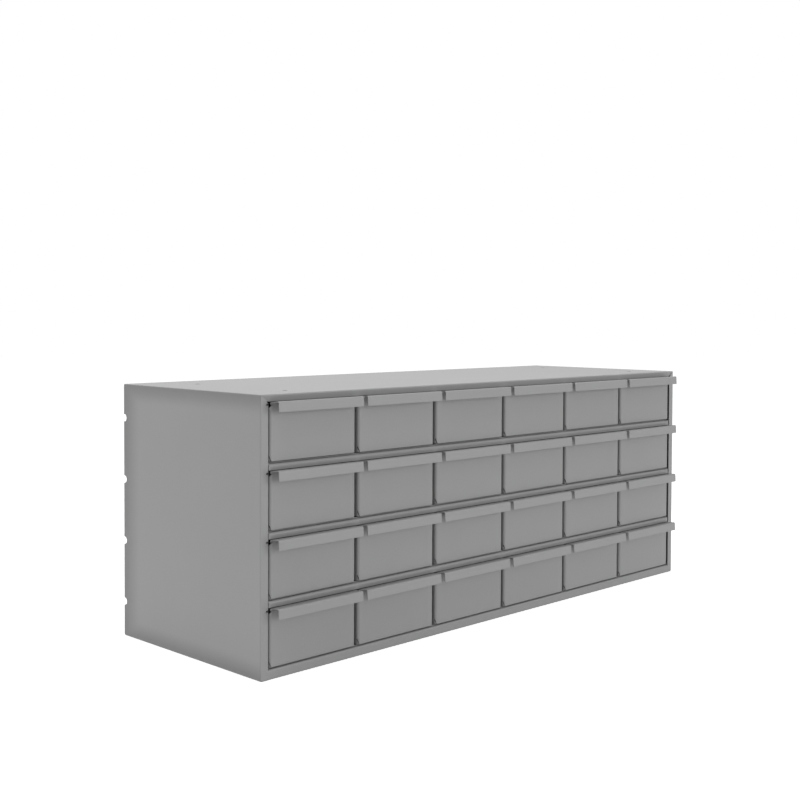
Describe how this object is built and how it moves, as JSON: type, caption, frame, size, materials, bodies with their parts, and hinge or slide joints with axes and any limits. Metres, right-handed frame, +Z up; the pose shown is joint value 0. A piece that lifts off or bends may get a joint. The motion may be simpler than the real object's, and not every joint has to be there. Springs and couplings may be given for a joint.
{
  "type": "parts bin cabinet",
  "caption": "Low wide steel cabinet with tiers of small sliding drawers, each with a folded full-width handle, for storing small parts.",
  "frame": {"origin": "bottom centre of the whole part's box, in the plane that the cabinet stands on", "axes": "+X to the right across the front, -Y out of the front, +Z up"},
  "size_m": [0.857, 0.3018, 0.33],
  "materials": {
    "case_paint": "satin grey powder coat on sheet steel",
    "drawer_paint": "satin grey powder coat on sheet steel",
    "guide_paint": "satin grey powder coat on sheet steel"
  },
  "bodies": {
    "cabinet": {"case_wrapper": "case_paint", "base_pan": "case_paint", "back_panel": "case_paint", "shelf_1": "case_paint", "shelf_2": "case_paint", "shelf_3": "case_paint", "guides_row_1": "guide_paint", "guides_row_2": "guide_paint", "guides_row_3": "guide_paint", "guides_row_4": "guide_paint"},
    "drawer_r1c1": {"drawer_tray_r1c1": "drawer_paint", "drawer_front_r1c1": "drawer_paint"},
    "drawer_r1c2": {"drawer_tray_r1c2": "drawer_paint", "drawer_front_r1c2": "drawer_paint"},
    "drawer_r1c3": {"drawer_tray_r1c3": "drawer_paint", "drawer_front_r1c3": "drawer_paint"},
    "drawer_r1c4": {"drawer_tray_r1c4": "drawer_paint", "drawer_front_r1c4": "drawer_paint"},
    "drawer_r1c5": {"drawer_tray_r1c5": "drawer_paint", "drawer_front_r1c5": "drawer_paint"},
    "drawer_r1c6": {"drawer_tray_r1c6": "drawer_paint", "drawer_front_r1c6": "drawer_paint"},
    "drawer_r2c1": {"drawer_tray_r2c1": "drawer_paint", "drawer_front_r2c1": "drawer_paint"},
    "drawer_r2c2": {"drawer_tray_r2c2": "drawer_paint", "drawer_front_r2c2": "drawer_paint"},
    "drawer_r2c3": {"drawer_tray_r2c3": "drawer_paint", "drawer_front_r2c3": "drawer_paint"},
    "drawer_r2c4": {"drawer_tray_r2c4": "drawer_paint", "drawer_front_r2c4": "drawer_paint"},
    "drawer_r2c5": {"drawer_tray_r2c5": "drawer_paint", "drawer_front_r2c5": "drawer_paint"},
    "drawer_r2c6": {"drawer_tray_r2c6": "drawer_paint", "drawer_front_r2c6": "drawer_paint"},
    "drawer_r3c1": {"drawer_tray_r3c1": "drawer_paint", "drawer_front_r3c1": "drawer_paint"},
    "drawer_r3c2": {"drawer_tray_r3c2": "drawer_paint", "drawer_front_r3c2": "drawer_paint"},
    "drawer_r3c3": {"drawer_tray_r3c3": "drawer_paint", "drawer_front_r3c3": "drawer_paint"},
    "drawer_r3c4": {"drawer_tray_r3c4": "drawer_paint", "drawer_front_r3c4": "drawer_paint"},
    "drawer_r3c5": {"drawer_tray_r3c5": "drawer_paint", "drawer_front_r3c5": "drawer_paint"},
    "drawer_r3c6": {"drawer_tray_r3c6": "drawer_paint", "drawer_front_r3c6": "drawer_paint"},
    "drawer_r4c1": {"drawer_tray_r4c1": "drawer_paint", "drawer_front_r4c1": "drawer_paint"},
    "drawer_r4c2": {"drawer_tray_r4c2": "drawer_paint", "drawer_front_r4c2": "drawer_paint"},
    "drawer_r4c3": {"drawer_tray_r4c3": "drawer_paint", "drawer_front_r4c3": "drawer_paint"},
    "drawer_r4c4": {"drawer_tray_r4c4": "drawer_paint", "drawer_front_r4c4": "drawer_paint"},
    "drawer_r4c5": {"drawer_tray_r4c5": "drawer_paint", "drawer_front_r4c5": "drawer_paint"},
    "drawer_r4c6": {"drawer_tray_r4c6": "drawer_paint", "drawer_front_r4c6": "drawer_paint"}
  },
  "joints": [
    {"name": "slide_r1c1", "type": "slide", "parent": "cabinet", "child": "drawer_r1c1", "axis": [0, -1, 0], "range_m": [0, 0.2339]},
    {"name": "slide_r1c2", "type": "slide", "parent": "cabinet", "child": "drawer_r1c2", "axis": [0, -1, 0], "range_m": [0, 0.2339]},
    {"name": "slide_r1c3", "type": "slide", "parent": "cabinet", "child": "drawer_r1c3", "axis": [0, -1, 0], "range_m": [0, 0.2339]},
    {"name": "slide_r1c4", "type": "slide", "parent": "cabinet", "child": "drawer_r1c4", "axis": [0, -1, 0], "range_m": [0, 0.2339]},
    {"name": "slide_r1c5", "type": "slide", "parent": "cabinet", "child": "drawer_r1c5", "axis": [0, -1, 0], "range_m": [0, 0.2339]},
    {"name": "slide_r1c6", "type": "slide", "parent": "cabinet", "child": "drawer_r1c6", "axis": [0, -1, 0], "range_m": [0, 0.2339]},
    {"name": "slide_r2c1", "type": "slide", "parent": "cabinet", "child": "drawer_r2c1", "axis": [0, -1, 0], "range_m": [0, 0.2339]},
    {"name": "slide_r2c2", "type": "slide", "parent": "cabinet", "child": "drawer_r2c2", "axis": [0, -1, 0], "range_m": [0, 0.2339]},
    {"name": "slide_r2c3", "type": "slide", "parent": "cabinet", "child": "drawer_r2c3", "axis": [0, -1, 0], "range_m": [0, 0.2339]},
    {"name": "slide_r2c4", "type": "slide", "parent": "cabinet", "child": "drawer_r2c4", "axis": [0, -1, 0], "range_m": [0, 0.2339]},
    {"name": "slide_r2c5", "type": "slide", "parent": "cabinet", "child": "drawer_r2c5", "axis": [0, -1, 0], "range_m": [0, 0.2339]},
    {"name": "slide_r2c6", "type": "slide", "parent": "cabinet", "child": "drawer_r2c6", "axis": [0, -1, 0], "range_m": [0, 0.2339]},
    {"name": "slide_r3c1", "type": "slide", "parent": "cabinet", "child": "drawer_r3c1", "axis": [0, -1, 0], "range_m": [0, 0.2339]},
    {"name": "slide_r3c2", "type": "slide", "parent": "cabinet", "child": "drawer_r3c2", "axis": [0, -1, 0], "range_m": [0, 0.2339]},
    {"name": "slide_r3c3", "type": "slide", "parent": "cabinet", "child": "drawer_r3c3", "axis": [0, -1, 0], "range_m": [0, 0.2339]},
    {"name": "slide_r3c4", "type": "slide", "parent": "cabinet", "child": "drawer_r3c4", "axis": [0, -1, 0], "range_m": [0, 0.2339]},
    {"name": "slide_r3c5", "type": "slide", "parent": "cabinet", "child": "drawer_r3c5", "axis": [0, -1, 0], "range_m": [0, 0.2339]},
    {"name": "slide_r3c6", "type": "slide", "parent": "cabinet", "child": "drawer_r3c6", "axis": [0, -1, 0], "range_m": [0, 0.2339]},
    {"name": "slide_r4c1", "type": "slide", "parent": "cabinet", "child": "drawer_r4c1", "axis": [0, -1, 0], "range_m": [0, 0.2339]},
    {"name": "slide_r4c2", "type": "slide", "parent": "cabinet", "child": "drawer_r4c2", "axis": [0, -1, 0], "range_m": [0, 0.2339]},
    {"name": "slide_r4c3", "type": "slide", "parent": "cabinet", "child": "drawer_r4c3", "axis": [0, -1, 0], "range_m": [0, 0.2339]},
    {"name": "slide_r4c4", "type": "slide", "parent": "cabinet", "child": "drawer_r4c4", "axis": [0, -1, 0], "range_m": [0, 0.2339]},
    {"name": "slide_r4c5", "type": "slide", "parent": "cabinet", "child": "drawer_r4c5", "axis": [0, -1, 0], "range_m": [0, 0.2339]},
    {"name": "slide_r4c6", "type": "slide", "parent": "cabinet", "child": "drawer_r4c6", "axis": [0, -1, 0], "range_m": [0, 0.2339]}
  ]
}
